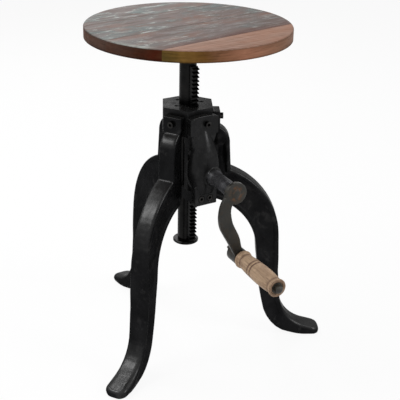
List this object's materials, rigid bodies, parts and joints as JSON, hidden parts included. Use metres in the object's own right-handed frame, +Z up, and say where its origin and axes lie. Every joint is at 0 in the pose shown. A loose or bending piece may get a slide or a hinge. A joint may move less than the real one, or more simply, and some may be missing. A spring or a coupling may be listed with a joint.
{
  "type": "adjustable swivel stool",
  "caption": "Round plank-top stool that turns on a rack post, wound up and down by a hand crank through a worm gear in a cast head on bowed legs.",
  "frame": {"origin": "floor level on the post's axis, under the middle of the seat", "axes": "+Z up along the post, -Y towards the gear housing and its crank, +X to the right seen from the crank's side"},
  "size_m": [0.4228, 0.5092, 0.555],
  "materials": {
    "cast_iron": "black, semi-gloss",
    "black_steel": "blackened, satin",
    "worn_steel": "dark, worn, satin",
    "bright_steel": "satin",
    "bronze": "satin",
    "plank_brown": "satin, worn",
    "plank_grey": "satin, worn paint",
    "plank_painted": "satin, worn paint",
    "nut_paint": "satin",
    "grip_wood": "matte"
  },
  "bodies": {
    "base": {"hex_head": "cast_iron", "guide_ring": "cast_iron", "leg_left": "cast_iron", "leg_right": "cast_iron", "leg_rear": "cast_iron", "leg_bolts": "worn_steel", "gear_housing": "cast_iron", "housing_bolt": "worn_steel", "lower_guide": "cast_iron", "guide_screws": "worn_steel", "gear_axle": "bright_steel", "shaft_bush_inner": "bronze", "shaft_bush_outer": "bronze"},
    "post": {"post_bar": "black_steel", "rack_strip": "black_steel", "stop_disc": "black_steel", "stop_screw": "bright_steel", "thrust_washer": "bronze", "retaining_washer": "bright_steel", "retaining_bolt": "bright_steel"},
    "seat": {"seat_plank_front": "plank_brown", "seat_plank_mid_front": "plank_grey", "seat_plank_mid_rear": "plank_painted", "seat_plank_rear": "plank_painted", "seat_flange": "cast_iron", "seat_screws": "bright_steel", "swivel_bush": "bronze"},
    "gear": {"rack_gear": "bright_steel"},
    "crank": {"crank_shaft": "worn_steel", "worm": "bright_steel", "worm_pin": "bright_steel", "spacer_collar": "worn_steel", "crank_arm": "worn_steel", "grip_rod": "worn_steel", "grip_washer": "worn_steel", "end_washer": "worn_steel", "grip_nut": "nut_paint"},
    "grip": {"grip": "grip_wood"}
  },
  "joints": [
    {"name": "crank_turn", "type": "hinge", "parent": "base", "child": "crank", "pos_m": [0.01, -0.0416, 0.3195], "axis": [-0.105, -0.9945, 0], "range_deg": [-3420, 4320]},
    {"name": "post_lift", "type": "slide", "parent": "base", "child": "post", "axis": [0, 0, 1], "range_m": [-0.0627, 0.0792]},
    {"name": "gear_turn", "type": "hinge", "parent": "base", "child": "gear", "pos_m": [0, -0.0416, 0.3484], "axis": [1, 0, 0], "range_deg": [-190.5, 240.5]},
    {"name": "seat_swivel", "type": "hinge", "parent": "post", "child": "seat", "pos_m": [0, 0, 0.513], "axis": [0, 0, 1], "continuous": true},
    {"name": "grip_turn", "type": "hinge", "parent": "crank", "child": "grip", "pos_m": [0.00691, -0.20417, 0.2055], "axis": [-0.105, -0.9945, 0], "continuous": true}
  ],
  "couplings": [
    {"joint": "post_lift", "follows": "crank_turn", "m_per_rad": 0.00105},
    {"joint": "gear_turn", "follows": "crank_turn", "ratio": 0.055556}
  ]
}
